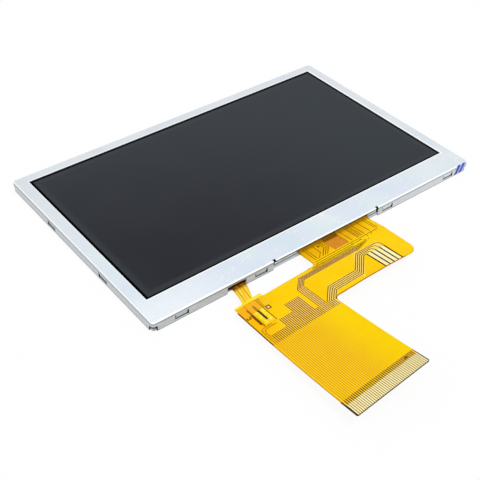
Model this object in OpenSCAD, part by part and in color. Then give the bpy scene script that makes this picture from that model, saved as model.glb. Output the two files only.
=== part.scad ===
// 4.3 inch class TFT display module: a glass panel and its edge-lit backlight, held in a
// moulded frame between a folded front bezel and a pressed rear cover, with the panel's
// flexible circuit and the backlight's small flexible circuit coming out of one long wall.
// Millimetres, +Z out of the screen. The origin is the centre of the rear cover's rear face.
// X runs along the screen's long side, and both flexible circuits leave towards -Y.

/* [Case] */
// Length of the metal case, along the long side of the screen
case_l = 105.5; // [100:0.5:112]
// Width of the metal case, across the screen
case_w = 67.2; // [64:0.2:72]
// Corner radius of the case, seen from the front
case_corner_r = 0.9; // [0.7:0.1:1.5]
// Clearance between the nested metal and moulded walls
nest_gap = 0.05; // [0.03:0.01:0.08]

/* [Front bezel] */
// Sheet thickness of the front bezel
bezel_t = 0.25; // [0.2:0.01:0.3]
// Outer bend radius of the bezel's rim
bezel_bend_r = 0.45; // [0.35:0.05:0.6]
// Bezel border beside the window, at each short side
border_side = 3.4; // [3:0.1:4.2]
// Bezel border at the long side away from the flexible circuits
border_back = 3.1; // [2.8:0.1:3.8]
// Bezel border at the long side with the flexible circuits
border_front = 7.4; // [7:0.1:8.4]
// Height of the skirt's lower edge above the rear face
skirt_lift = 0.12; // [0.05:0.01:0.25]
// Width of the open notch in each wall at a lower corner
corner_notch_w = 1.3; // [1:0.1:2]
// Height of the open corner notch above the rear face
corner_notch_h = 1.45; // [1:0.05:1.7]

/* [Snap tabs] */
// Width of a snap tab
tab_w = 3.2; // [2.6:0.1:3.8]
// Height of a snap tab
tab_h = 1.15; // [0.9:0.05:1.3]
// Height of a tab's free lower end above the rear face
tab_z = 0.8; // [0.6:0.05:0.95]
// Width of the slit round a tab
tab_slit = 0.3; // [0.2:0.01:0.35]
// How far the tab's free end is pressed inwards
tab_press = 0.28; // [0.2:0.01:0.3]
// Distance of the outer snap tabs from the middle of a long wall
tab_outer_x = 44.6; // [42:0.1:46]
// Distance of the inner snap tabs from the middle of a long wall
tab_inner_x = 21.3; // [20.5:0.1:23]
// Distance of the snap tabs from the middle of a short wall
tab_side_y = 12.4; // [10:0.1:15]

/* [Openings for the circuits] */
// Middle of the panel circuit's opening, along the wall
film_slot_x = 0.2; // [-0.5:0.1:1]
// Width of the panel circuit's opening
film_slot_w = 35.4; // [34:0.1:37]
// Width of the small relief notch at each end of that opening
relief_w = 0.8; // [0.6:0.1:1]
// Middle of the backlight circuit's opening, along the wall
lamp_slot_x = -28.7; // [-29:0.1:-28.4]
// Width of the backlight circuit's opening
lamp_slot_w = 5.6; // [5.2:0.1:6]
// Height of the top of the backlight circuit's opening above the rear face
lamp_slot_top = 2.05; // [1.9:0.05:2.2]

/* [Rear cover] */
// Sheet thickness of the rear cover
cover_t = 0.25; // [0.2:0.01:0.3]
// Outer bend radius of the rear cover
cover_bend_r = 0.4; // [0.35:0.05:0.5]
// Height of the rear cover's walls
cover_wall_h = 2.2; // [2.1:0.05:2.4]

/* [Moulded frame] */
// Thickness of the frame's outer wall, round the panel
frame_wall_t = 0.55; // [0.45:0.05:0.7]
// Width of the ledge that carries the panel
ledge_w = 1.6; // [1.3:0.1:1.8]
// Width of the frame's front bar, over the lamps
front_bar_w = 5.4; // [5:0.1:6]
// Thickness of the front bar over the lamps
bar_roof_t = 0.28; // [0.2:0.02:0.32]
// How far the sill under the panel circuit stands out of the frame
sill_reach = 0.3; // [0.2:0.02:0.34]

/* [Panel] */
// Clearance between the panel glass and the frame
panel_gap = 0.1; // [0.05:0.01:0.2]
// Gap between the colour filter glass and the bezel
bezel_gap = 0.12; // [0.08:0.01:0.2]
// Thickness of each of the two glass sheets
glass_t = 0.5; // [0.4:0.01:0.6]
// Thickness of each polarizer
polarizer_t = 0.15; // [0.12:0.01:0.2]
// Gap between the front polarizer's edge and the window, all round
polarizer_inset = 0.55; // [0.4:0.05:0.8]
// Width of the array glass that the colour filter glass leaves bare, for the circuits
glass_ledge_w = 2.9; // [2.7:0.1:3.2]
// Length of the driver chip
chip_l = 20; // [18:0.5:22]
// Width of the driver chip
chip_w = 1.1; // [0.9:0.05:1.2]
// Thickness of the driver chip
chip_t = 0.4; // [0.3:0.02:0.45]

/* [Backlight] */
// Thickness of the reflector sheet
reflector_t = 0.1; // [0.08:0.01:0.12]
// Thickness of the light guide
guide_t = 0.6; // [0.55:0.01:0.65]
// Thickness of the diffuser sheet
diffuser_t = 0.12; // [0.1:0.01:0.15]
// Thickness of each prism sheet
prism_t = 0.13; // [0.1:0.01:0.15]
// Thickness of the rim tape under the panel
rim_tape_t = 0.05; // [0.04:0.01:0.08]
// Width by which the rim tape laps over the optical sheets
tape_lap = 1.2; // [0.8:0.1:1.4]
// Clearance round the optical sheets
sheet_gap = 0.1; // [0.05:0.01:0.2]
// Distance of the lamps' backs from the outside of the case
lamp_setback = 2; // [1.9:0.05:2.1]
// Number of lamps
lamp_count = 8; // [6:1:9]
// Length of a lamp
lamp_l = 3.8; // [3:0.1:4]
// Depth of a lamp, from its back to its window
lamp_d = 1; // [0.8:0.05:1.1]
// Height of a lamp
lamp_h = 0.6; // [0.5:0.02:0.62]
// Rim of the lamp's body round its window
lamp_rim = 0.1; // [0.08:0.01:0.14]
// Depth of the filled window in the lamp
lamp_window_d = 0.3; // [0.2:0.05:0.5]

/* [Panel circuit] */
// Middle of the circuit's neck, along the wall
neck_x = 2.2; // [1.8:0.1:2.4]
// Width of the neck
neck_w = 23.6; // [22:0.1:25]
// Length of the neck, from the case to the wing
neck_len = 6; // [5:0.1:7]
// Height of the wing, from the neck's end to the tail
wing_h = 12; // [11.5:0.1:13]
// How far the wing's near edge slants away from the case, from the neck to the tail
wing_slant = 0.6; // [0:0.1:0.8]
// Middle of the tail, along the wall
tail_x = -24.25; // [-25:0.05:-23.5]
// Length of the tail, from the wing to its end
tail_len = 28.9; // [26:0.1:32]
// Distance from one contact to the next
contact_pitch = 0.5; // [0.48:0.01:0.52]
// Number of contacts
contact_count = 40; // [38:1:42]
// Width of one contact
contact_w = 0.34; // [0.28:0.01:0.38]
// Length of bare contact
contact_len = 3.5; // [3:0.1:4]
// Distance from the middle of an outer contact to the tail's edge
contact_margin = 0.5; // [0.4:0.05:0.6]
// Length of the stiffener behind the contacts
stiffener_len = 4.9; // [4.5:0.1:6]
// Thickness of the stiffener
stiffener_t = 0.2; // [0.15:0.01:0.25]
// Thickness of the circuit's base film
base_t = 0.05; // [0.04:0.005:0.06]
// Thickness of each copper layer
copper_t = 0.025; // [0.02:0.005:0.035]
// Thickness of each cover film
coverfilm_t = 0.03; // [0.025:0.005:0.04]
// Width of the gap etched between two conductors on the neck and in the bus
etch_w = 0.18; // [0.12:0.01:0.2]
// Width of the gap etched between two conductors on the tail and at the touch pads
tail_etch_w = 0.22; // [0.16:0.01:0.25]
// Width of the gaps just above the contacts
stripe_w = 0.27; // [0.2:0.01:0.32]
// Width of a touch panel pad
pad_w = 1; // [0.8:0.05:1.1]
// Distance from one touch panel pad to the next
pad_pitch = 1.42; // [1.3:0.01:1.5]
// Length of a touch panel pad
pad_len = 6.2; // [5.5:0.1:6.2]

/* [Lie of the panel circuit] */
// Height of the circuit just outside the case
lie_z = 1.3; // [1.2:0.05:1.5]
// Rise of the circuit for each millimetre away from the case
lie_slope = 0.065; // [0.05:0.005:0.08]
// Upward curl, for each square millimetre away from the case
lie_curl = 0.0013; // [0.001:0.0001:0.0016]
// Twist: extra slope for each millimetre to the right
lie_twist = 0.0031; // [0.002:0.0001:0.0036]
// Where along the wall the twist is nothing
lie_twist_x = -10; // [-12:0.5:-8]
// Droop of the wing's outer corner, for each cubic millimetre
lie_droop = 0.00024; // [0.0001:0.00001:0.0003]
// Where along the wall the droop begins
lie_droop_x = -8; // [-10:0.5:-6]

/* [Backlight circuit] */
// Width of the backlight circuit's tail
lamp_tail_w = 3.1; // [2.9:0.1:3.4]
// Extra width of that tail where it leaves the case
lamp_tail_flare = 0.8; // [0.5:0.1:1]
// Distance from the case to the end of that tail
lamp_tail_len = 14.6; // [14:0.1:15]
// Sideways run of that tail, towards the short side
lamp_tail_slant = 2; // [1.5:0.1:2.2]
// Thickness of the backlight circuit
lamp_film_t = 0.11; // [0.09:0.01:0.13]
// Thickness of its solder joints on the panel circuit
solder_t = 0.12; // [0.08:0.01:0.2]
// Thickness of the adhesive tape patch over the joint
patch_t = 0.05; // [0.04:0.005:0.07]
// Length of the tape patch, along the wing's edge
patch_l = 8.2; // [7.5:0.1:8.6]
// Width of the tape patch
patch_w = 4.1; // [3.5:0.1:4.5]
// Turn of the tape patch, in degrees
patch_turn = 5; // [0:1:8]

/* [Hidden] */
$fn = 48;
eps = 0.01;

// Heights of the stacked layers above the rear face
z_reflector = cover_t;
z_guide = z_reflector + reflector_t;
z_diffuser = z_guide + guide_t;
z_prism_lower = z_diffuser + diffuser_t;
z_prism_upper = z_prism_lower + prism_t;
z_tape = z_prism_upper + prism_t;
z_rear_polarizer = z_tape + rim_tape_t;
z_array = z_rear_polarizer + polarizer_t;
z_filter = z_array + glass_t;
z_polarizer = z_filter + glass_t;
z_sheet = z_polarizer + bezel_gap;
case_t = z_sheet + bezel_t;

// Distance of each nested face inwards from the case's outline
in_cover = bezel_t + nest_gap;
in_cover_inner = in_cover + cover_t;
in_frame = in_cover_inner + nest_gap;
in_pocket = in_frame + frame_wall_t;
in_glass = in_pocket + panel_gap;
in_well = in_pocket + ledge_w;
in_sheets = in_well + sheet_gap;
in_bar = in_frame + front_bar_w;

front_y = -case_w / 2;
window_mid_y = (border_front - border_back) / 2;
window_l = case_l - 2 * border_side;
window_w = case_w - border_front - border_back;
in_lamp_front = lamp_setback + lamp_d;
in_guide_front = in_lamp_front + nest_gap;
edge_r = 0.3;
glass_r = 0.2;
// Radius of the rear cover's corners, and of the frame's, which nest in them
cover_corner_r = case_corner_r - in_cover + 0.1;
frame_corner_r = cover_corner_r - cover_t - nest_gap;
// The frame's foot is set in and stepped up, to clear the bends at the cover's floor
foot_inset = cover_bend_r - cover_t;
foot_h = foot_inset + nest_gap;
// How far a cut runs past what it cuts
over = 1;

// A plate with rounded corners, from four distances inwards of the case's outline
module inset_plate(side, front, back, r, t) {
    l = case_l - 2 * side;
    w = case_w - front - back;
    translate([-l / 2, front_y + front, 0]) linear_extrude(t) rounded_rect(l, w, r);
}

module rounded_rect(l, w, r) {
    translate([r, 0]) square([l - 2 * r, w]);
    translate([0, r]) square([l, w - 2 * r]);
    for (x = [r, l - r], y = [r, w - r]) translate([x, y]) circle(r);
}

// Section of a sheet bent through a right angle: x runs outwards, y down from the flat face
module bend_section(reach, bend, t, h) {
    translate([0, 0]) square([reach - bend, t]);
    translate([reach - t, bend]) square([t, h - bend]);
    translate([reach - bend, bend]) intersection() {
        difference() {
            circle(bend);
            circle(bend - t);
        }
        translate([0, -bend]) square([bend, bend]);
    }
}

// A shallow tray folded from sheet, open upwards, with its flat face at z = 0
module folded_tray(l, w, r, bend, t, h) {
    translate([-l / 2 + r, -w / 2 + r, 0]) cube([l - 2 * r, w - 2 * r, t]);
    for (s = [0, 1]) rotate(180 * s) {
        translate([l / 2 - r, w / 2 - r, 0]) rotate([90, 0, 0])
            linear_extrude(w - 2 * r) bend_section(r, bend, t, h);
        translate([-l / 2 + r, w / 2 - r, 0]) rotate([90, 0, 90])
            linear_extrude(l - 2 * r) bend_section(r, bend, t, h);
        translate([l / 2 - r, w / 2 - r, 0]) rotate_extrude(angle = 90)
            bend_section(r, bend, t, h);
        translate([-l / 2 + r, w / 2 - r, 0]) rotate(90) rotate_extrude(angle = 90)
            bend_section(r, bend, t, h);
    }
}

// Places its children at each snap tab: x along the wall, y inwards from the case's outline
module at_tabs() {
    for (s = [0, 1]) rotate(180 * s) {
        for (x = [-tab_outer_x, -tab_inner_x, tab_inner_x, tab_outer_x])
            translate([x, front_y, 0]) children();
        for (y = [-tab_side_y, tab_side_y])
            translate([-case_l / 2, y, 0]) rotate(-90) children();
    }
}

// A box through a wall: x along the wall, from the outline inwards
module wall_cut(w, z0, z1, depth) {
    translate([-w / 2, -over, z0]) cube([w, depth + over, z1 - z0]);
}

// ---- metal case ----

module front_bezel() {
    color("#dfe6ea") difference() {
        union() {
            difference() {
                translate([0, 0, case_t]) mirror([0, 0, 1])
                    folded_tray(case_l, case_w, case_corner_r, bezel_bend_r, bezel_t,
                                case_t - skirt_lift);
                translate([-window_l / 2, front_y + border_front, z_sheet - over])
                    cube([window_l, window_w, bezel_t + 2 * over]);
                at_tabs() wall_cut(tab_w + 2 * tab_slit, tab_z - tab_slit,
                                   tab_z + tab_h, bezel_t + eps);
                film_opening_cut();
                lamp_opening_cut();
            }
            at_tabs() snap_tab();
        }
        for (sx = [-1, 1], sy = [-1, 1])
            translate([sx * case_l / 2, sy * case_w / 2, corner_notch_h / 2])
                cube([2 * corner_notch_w, 2 * corner_notch_w, corner_notch_h], center = true);
    }
}

// One tab, sheared from the wall on three sides and pressed inwards at its lower end
module snap_tab() {
    top = tab_z + tab_h;
    translate([-tab_w / 2, 0, 0]) rotate([90, 0, 90]) linear_extrude(tab_w)
        polygon([[0, top], [tab_press, tab_z], [tab_press + bezel_t, tab_z], [bezel_t, top]]);
}

// The wall is left out over the panel circuit, and a relief notch ends it at each side
module film_opening_cut() {
    translate([film_slot_x, front_y, 0]) {
        wall_cut(film_slot_w, -over, z_sheet, case_corner_r);
        for (s = [-1, 1]) translate([s * (film_slot_w - relief_w) / 2, 0, 0])
            wall_cut(relief_w, -over, case_t + over, bezel_bend_r + bezel_t);
    }
}

module lamp_opening_cut() {
    translate([lamp_slot_x, front_y, 0])
        wall_cut(lamp_slot_w, -over, lamp_slot_top, bezel_t + eps);
}

// Height of the rear cover's wall under the backlight circuit
lamp_slot_sill = 0.55;

module rear_cover() {
    wall_top = z_tape - nest_gap;
    color("#b9bec0") difference() {
        folded_tray(case_l - 2 * in_cover, case_w - 2 * in_cover, cover_corner_r,
                    cover_bend_r, cover_t, cover_wall_h);
        at_tabs() wall_cut(tab_w + 4 * nest_gap, tab_z - nest_gap, cover_wall_h + over,
                           in_cover_inner + eps);
        translate([film_slot_x, front_y, 0])
            wall_cut(film_slot_w, wall_top, cover_wall_h + over, in_cover_inner + eps);
        translate([lamp_slot_x, front_y, 0])
            wall_cut(lamp_slot_w, lamp_slot_sill, cover_wall_h + over, in_cover_inner + eps);
    }
}

// ---- moulded frame ----

module mould_frame() {
    in_foot = in_frame + foot_inset;
    color("#eceeec") difference() {
        union() {
            translate([0, 0, cover_t])
                inset_plate(in_foot, in_foot, in_foot, frame_corner_r, foot_h + eps);
            translate([0, 0, cover_t + foot_h])
                inset_plate(in_frame, in_frame, in_frame, frame_corner_r,
                            z_sheet - cover_t - foot_h);
            film_sill();
        }
        translate([0, 0, z_tape]) inset_plate(in_pocket, in_pocket, in_pocket, edge_r, case_t);
        inset_plate(in_well, in_bar, in_well, edge_r, case_t);
        translate([-case_l / 2 + in_well, front_y + in_pocket, 0])
            cube([case_l - 2 * in_well, front_bar_w, z_tape - bar_roof_t]);
        translate([film_slot_x, front_y, 0])
            wall_cut(film_slot_w - 2 * frame_wall_t, z_filter, case_t, in_pocket + eps);
        translate([lamp_slot_x, front_y, 0])
            wall_cut(lamp_slot_w - 2 * nest_gap, 0, z_tape - bar_roof_t, in_pocket + eps);
        film_ramp();
    }
}

// The sill is ramped down under the panel circuit, which leaves the case below the glass
module film_ramp() {
    w = neck_w + 2 * ramp_gap;
    translate([neck_x - w / 2, front_y, 0]) rotate([90, 0, 90]) linear_extrude(w)
        polygon([[in_pocket + eps, z_filter - nest_gap], [in_pocket + eps, case_t],
                 [-over, case_t], [-over, z_filter - 2 * ramp_drop],
                 [in_frame - sill_reach, z_filter - ramp_drop]]);
}

ramp_gap = 0.3;
ramp_drop = 0.5;

// The sill carries the panel circuit out over the rear cover's wall, with a rounded lip
module film_sill() {
    r = sill_r;
    w = film_slot_w - 2 * frame_wall_t;
    h = z_filter - z_tape;
    translate([film_slot_x - w / 2, front_y + in_frame - sill_reach, z_tape])
        rotate([90, 0, 90]) linear_extrude(w) {
            translate([r, 0]) square([sill_reach - r + eps, h]);
            square([r, h - r]);
            translate([r, h - r]) circle(r);
        }
}

sill_r = 0.2;

// ---- panel ----

module array_glass() {
    color("#7d8790") translate([0, 0, z_array])
        inset_plate(in_glass, in_glass, in_glass, glass_r, glass_t);
}

module color_filter_glass() {
    color("#15171a") translate([0, 0, z_filter])
        inset_plate(in_glass, in_glass + glass_ledge_w, in_glass, glass_r, glass_t);
}

module front_polarizer() {
    l = window_l - 2 * polarizer_inset;
    w = window_w - 2 * polarizer_inset;
    color("#3b3c3f") translate([-l / 2, window_mid_y - w / 2, z_polarizer])
        linear_extrude(polarizer_t) rounded_rect(l, w, edge_r);
}

rear_polarizer_inset = 0.9;

module rear_polarizer() {
    inset = in_glass + rear_polarizer_inset;
    color("#2c2d30") translate([0, 0, z_rear_polarizer])
        inset_plate(inset, in_glass + glass_ledge_w, inset, edge_r, polarizer_t);
}

// Gap between the driver chip and the colour filter glass
chip_gap = 0.25;

module driver_chip() {
    color("#26262a") translate([neck_x - chip_l / 2,
                                front_y + in_glass + glass_ledge_w - chip_w - chip_gap, z_filter])
        cube([chip_l, chip_w, chip_t]);
}

// ---- backlight ----

// The black tape that holds the panel to the frame and masks the edge of the sheets
module rim_tape() {
    outer = in_pocket + sheet_gap;
    color("#161616") translate([0, 0, z_tape]) difference() {
        inset_plate(outer, outer, outer, edge_r, rim_tape_t);
        translate([0, 0, -over])
            inset_plate(in_sheets + tape_lap, in_bar + sheet_gap + tape_lap,
                        in_sheets + tape_lap, edge_r, 2 * over);
    }
}

module optical_sheet(z, t) {
    translate([0, 0, z]) inset_plate(in_sheets, in_bar + sheet_gap, in_sheets, edge_r, t);
}

module prism_sheet_upper() { color("#e6ebf0") optical_sheet(z_prism_upper, prism_t); }

module prism_sheet_lower() { color("#dfe6ee") optical_sheet(z_prism_lower, prism_t); }

module diffuser_sheet() { color("#f4f5f6") optical_sheet(z_diffuser, diffuser_t); }

module light_guide() {
    color("#eaf4fa") translate([0, 0, z_guide])
        inset_plate(in_sheets, in_guide_front, in_sheets, edge_r, guide_t);
}

module reflector_sheet() {
    color("#fafafa") translate([0, 0, z_reflector])
        inset_plate(in_sheets, in_guide_front, in_sheets, edge_r, reflector_t);
}

// The lamps are spread evenly along the light guide
lamp_pitch = (case_l - 2 * in_sheets) / (lamp_count + 0.6);
function lamp_x(i) = (i - (lamp_count + 1) / 2) * lamp_pitch;
lamp_z = cover_t + lamp_film_t;

// A side-emitting lamp: a white body with a filled window towards the light guide
module lamp(i) {
    color("#f5f5f0") translate([lamp_x(i) - lamp_l / 2, front_y + lamp_setback, lamp_z])
        difference() {
            cube([lamp_l, lamp_d, lamp_h]);
            translate([lamp_rim, lamp_d - lamp_window_d, lamp_rim])
                cube([lamp_l - 2 * lamp_rim, over, lamp_h - 2 * lamp_rim]);
        }
}

module lamp_windows() {
    color("#f2d34a") for (i = [1:lamp_count])
        translate([lamp_x(i) - lamp_l / 2 + lamp_rim,
                   front_y + in_lamp_front - lamp_window_d, lamp_z + lamp_rim])
            cube([lamp_l - 2 * lamp_rim, lamp_window_d, lamp_h - 2 * lamp_rim]);
}

// ---- lie of the flexible circuits ----

tail_w = (contact_count - 1) * contact_pitch + 2 * contact_margin;
tail_left = tail_x - tail_w / 2;
tail_right = tail_x + tail_w / 2;
neck_left = neck_x - neck_w / 2;
neck_right = neck_x + neck_w / 2;
wing_end = neck_len + wing_h;
tail_end = wing_end + tail_len;
// The circuit is bonded to the glass, drops out of the case, and takes the other circuit on
bond_len = 1.35;
bond_v = -in_glass - bond_len;
drop_start = -in_glass;
drop_end = 0.6;
lap_v = neck_len - 1.4;
margin = 1.5;

// Distances outwards from the case at which every layer of the circuits is creased
rows = concat(
    [bond_v - over / 2],
    [for (i = [0:5]) drop_start + i * (drop_end - drop_start) / 5],
    [(drop_end + lap_v) / 2, lap_v, neck_len],
    [for (i = [1:4]) neck_len + i * wing_h / 4],
    [for (i = [1:6]) wing_end + i * (tail_len + over) / 6]);
columns = concat(
    [for (i = [0:4]) tail_left - margin + i * (lie_droop_x - tail_left + margin) / 5],
    [for (i = [0:5]) lie_droop_x + i * (neck_right + margin - lie_droop_x) / 5]);

film_stack_t = 2 * copper_t + base_t + coverfilm_t;

function smooth(k) = let(c = min(max(k, 0), 1)) c * c * (3 - 2 * c);
function lie(x, v) = lie_z + lie_slope * v + lie_curl * v * v
                     + lie_twist * v * (x - lie_twist_x)
                     - lie_droop * max(v - neck_len, 0) * pow(max(x - lie_droop_x, 0), 2);

// Underside of the panel circuit: on the glass, over the sill's lip, then out as it lies
function panel_film_z(x, v) =
    let(k = smooth((v - drop_start) / (drop_end - drop_start)))
    z_filter * (1 - k) + lie(x, v) * k;

// Underside of the backlight circuit: up from the lamp strip, out of its opening with a
// sag, and onto the panel circuit's wing
lamp_rows = [[-in_pocket - 0.6, z_reflector], [-in_pocket, 0.5], [-0.55, 0.84], [0, 0.96],
             [0.8, 0.98], [1.6, 1.0], [2.6, 1.12], [3.6, 1.32]];
function lamp_film_z(x, v) =
    v > lamp_rows[len(lamp_rows) - 1][0] ? panel_film_z(x, v) + film_stack_t
                                         : lookup(v, lamp_rows);

// A slab between two heights over a surface, with one crease for each row and column
module draped_slab(height, rows, columns, lo, hi) {
    nr = len(rows);
    nc = len(columns);
    layer = nr * nc;
    points = [for (s = [lo, hi], v = rows, x = columns) [x, front_y - v, height(x, v) + s]];
    cells = [for (i = [0:nr - 2], j = [0:nc - 2]) i * nc + j];
    faces = concat(
        [for (c = cells) [layer + c, layer + c + 1, layer + c + nc + 1]],
        [for (c = cells) [layer + c, layer + c + nc + 1, layer + c + nc]],
        [for (c = cells) [c, c + nc + 1, c + 1]],
        [for (c = cells) [c, c + nc, c + nc + 1]],
        [for (j = [0:nc - 2]) [j, j + 1, layer + j + 1, layer + j]],
        [for (j = [0:nc - 2]) let(c = (nr - 1) * nc + j) [c + 1, c, layer + c, layer + c + 1]],
        [for (i = [0:nr - 2]) let(c = i * nc) [c + nc, c, layer + c, layer + c + nc]],
        [for (i = [0:nr - 2]) let(c = i * nc + nc - 1)
            [c, c + nc, layer + c + nc, layer + c]]);
    polyhedron(points, faces);
}

// A layer between two heights over a surface, cut to a flat outline.
// Outlines are drawn with y = 0 at the case's front wall.
module draped_layer(height, rows, lo, hi) {
    intersection() {
        draped_slab(height, rows, columns, lo, hi);
        translate([0, front_y, -over]) linear_extrude(6 * case_t) children();
    }
}

// A layer of the panel circuit
module film_layer(lo, hi) {
    draped_layer(function (x, v) panel_film_z(x, v), rows, lo, hi) children();
}

// ---- panel circuit ----

module rounded(r) { offset(r) offset(delta = -r) children(); }

// Outline of the whole circuit: neck, wing and tail, inset all round by d
module film_outline(d = 0) {
    wing_mid = neck_len + wing_h / 2;
    offset(delta = -d, $fn = 24) rounded(tail_corner_r) offset(-inner_corner_r)
        offset(delta = inner_corner_r) {
            translate([neck_left, -wing_mid]) square([neck_w, wing_mid - bond_v]);
            rounded(wing_corner_r) polygon([
                [tail_left, -wing_end], [neck_right - outer_corner_r, -wing_end],
                [neck_right - outer_corner_r, -neck_len], [neck_left, -neck_len],
                [tail_left, -neck_len - wing_slant]]);
            translate([neck_x, -wing_end]) rounded(outer_corner_r)
                square([neck_right - neck_x, wing_h]);
            translate([tail_left, -tail_end]) square([tail_w, tail_end - wing_mid]);
        }
}

tail_corner_r = 0.4;
inner_corner_r = 1.1;
wing_corner_r = 1.4;
outer_corner_r = 3;
copper_inset = 0.25;
plane_inset = 0.6;
contact_top = tail_end - contact_len;
// Where the copper plane under the tail starts and ends
plane_top = wing_end + 2.4;
plane_end = contact_top - 1.4;

function unit(v) = v / norm(v);

// A stroke of width w along a run of points, mitred at its corners
module stroke(p, w) {
    n = len(p);
    dir = [for (i = [0:n - 1]) let(
        a = unit(p[max(i, 1)] - p[max(i, 1) - 1]),
        b = unit(p[min(i, n - 2) + 1] - p[min(i, n - 2)]),
        m = unit(a + b)) [-m.y, m.x] * w / 2 / (m * a)];
    polygon(concat([for (i = [0:n - 1]) p[i] + dir[i]],
                   [for (i = [n - 1:-1:0]) p[i] - dir[i]]));
}

// Gap number i between the tail's conductors, counted from the left
gap_count = contact_count - 1;
function gap_x(i) = tail_left + contact_margin + (i + 0.5) * contact_pitch;

// First gap of each group on the tail, from the left
first_comb = 2;
second_comb = 11;
third_comb = 19;
first_bus = 30;
comb_end = first_bus - 2;
bus_count = 5;
first_touch = first_bus + bus_count;
function is_bus(i) = i >= first_bus && i < first_touch;
touch_count = 5;
// Distance of each comb's upper end from the case
comb_tops = [17.7, 15, 12];

function comb_top(i) =
    i < second_comb ? comb_tops[0]
    : i < third_comb ? comb_tops[1]
    : i < comb_end ? comb_tops[2] : comb_tops[0];

// The bus: close-set conductors that run along the wing from the neck and turn down the tail
bus_v = 7.35;
bus_pitch = 0.29;
bus_right_x = 3;
function bus_run(k) = let(x = gap_x(first_bus + k), v = bus_v + bus_pitch * k,
                          c = 2.85 - 0.325 * k)
    [[bus_right_x + (bus_count - 1 - k) * 0.9, -v], [x + c, -v], [x, -v - c]];

// The touch conductors: from the pads, along the wing in a step, and down the tail
touch_upper_v = 9.35;
touch_upper_pitch = 0.48;
touch_lower_v = 14.1;
touch_lower_pitch = 0.55;
pad_1_x = 3.4;
pad_v = 11.5;
function touch_run(k) = let(
        x = gap_x(first_touch + k),
        low = touch_lower_v + touch_lower_pitch * k,
        up = touch_upper_v + touch_upper_pitch * k,
        c = 3.65 - 0.36 * k,
        step_x = -3.9 + 0.13 * k,
        pad_x = pad_1_x + (touch_count - 1.5 - k) * pad_pitch,
        bend = min(1.1, 0.8 * (pad_v - up)))
    [[pad_x, -pad_v], [pad_x, -up - bend], [pad_x - 0.3 * bend, -up - 0.3 * bend],
     [pad_x - bend, -up], [step_x + low - up, -up],
     [step_x, -low], [x + c, -low], [x, -low - c]];

// The lamp conductors: from the backlight circuit's joint, round to the tail's left edge
joint_v = lamp_tail_len;
joint_x = tail_left + 4.1;
function lamp_run(k) = let(x = gap_x(k), v = joint_v + 0.35 + 0.5 * k)
    [[joint_x + 0.9 * k, -v], [x + 0.95, -v], [x + 0.3, -v - 0.25], [x, -v - 0.9]];

// Gaps along both sides of the lamp conductors' pads, under the joint
joint_side = 1.75;
joint_gap_top = 8.3;
module joint_gaps(w) {
    for (s = [-1, 1]) stroke([[joint_x + s * joint_side, -joint_gap_top],
                              [joint_x + s * joint_side, -joint_v]], w);
}

// Conductors on the neck that run straight, and those that turn aside
neck_lines = [-8.05, -7.35, 4.05, 5.9, 6.3, 6.9, 7.4, 8.2, 10.1, 12, 12.6];
neck_turns = [[-5.2, 3.1], [-3.3, 2.3], [-2.7, 2.5], [-2.05, 2.6]];
cross_lines = [[-9, 12.2, 5.35], [-10, 6.2, 6.05], [-11, 2.6, 6.6], [-11.5, 6.9, 6.98]];
line_end = 4.85;
bare_left = -1.8;
bare_right = 2.9;

module etched_gaps() {
    for (i = [0:gap_count - 1]) stroke(concat(
        i < first_comb ? lamp_run(i)
        : is_bus(i) ? bus_run(i - first_bus)
        : i >= first_touch ? touch_run(i - first_touch)
        : [[gap_x(i), -comb_top(i)]],
        [[gap_x(i), -contact_top]]), is_bus(i) ? etch_w : tail_etch_w);
    stroke(touch_run(touch_count - 1), tail_etch_w);
    for (i = [0:gap_count - 1]) translate([gap_x(i) - stripe_w / 2, -contact_top])
        square([stripe_w, contact_top - plane_end]);
    joint_gaps(tail_etch_w);
    for (x = neck_lines) stroke([[x, 0.3], [x, -line_end]], etch_w);
    for (t = neck_turns) stroke([[t.x, 0.3], [t.x, -t.y],
                                 [t.x - line_end + t.y, -line_end]], etch_w);
    for (c = cross_lines) stroke([[c[0], -c[2]], [c[1], -c[2]]], etch_w);
    for (k = [0:touch_count - 1])
        translate([pad_1_x + (k - 0.5) * pad_pitch, -pad_v - pad_len / 2])
            square([pad_pitch - pad_w, pad_len + 2 * copper_inset], center = true);
    translate([bare_left, -line_end + 0.05]) square([bare_right - bare_left, line_end + 0.4]);
    for (m = marks) translate(m) difference() {
        square(mark_size, center = true);
        square(mark_size / 2, center = true);
    }
    for (m = spots) translate(m) square(spot_size, center = true);
    for (m = vias) translate(m) circle(via_r, $fn = 8);
}

// Alignment marks, one at each side of the backlight circuit's joint
mark_size = 1.2;
mark_v = 10.3;
marks = [[joint_x + 2.8, -mark_v], [joint_x - 3.1, -mark_v]];
// Small etched squares: one on the neck, one above the contacts
spot_size = 0.6;
spots = [[-4.1, -1.1], [gap_x(gap_count - 5), -(plane_end + contact_top) / 2]];
// Small round holes through the copper, at the ends of the lines across the wing
via_r = 0.17;
vias = [[-8.9, -6.2], [2.9, -5.85], [5.7, -5.85], [6.5, -6.5], [8.2, -5.85], [9.6, -5.85],
        [7.6, -6.9], [4.4, -7.45]];

module main_flex_tracks() {
    color("#c8912a") film_layer(copper_t + base_t, 2 * copper_t + base_t) difference() {
        film_outline(copper_inset);
        etched_gaps();
        end_field(contact_len);
        touch_pad_shapes();
    }
}

// The tail's end, up to a distance d from its edge
module end_field(d) {
    translate([tail_left - over, -tail_end - over]) square([tail_w + 2 * over, d + over]);
}

module touch_pad_shapes() {
    for (k = [0:touch_count - 2]) translate([pad_1_x + k * pad_pitch - pad_w / 2, -pad_v - pad_len])
        square([pad_w, pad_len]);
}

module touch_pads() {
    color("#e8d9a0") film_layer(copper_t + base_t, 2 * copper_t + base_t) touch_pad_shapes();
}

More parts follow.
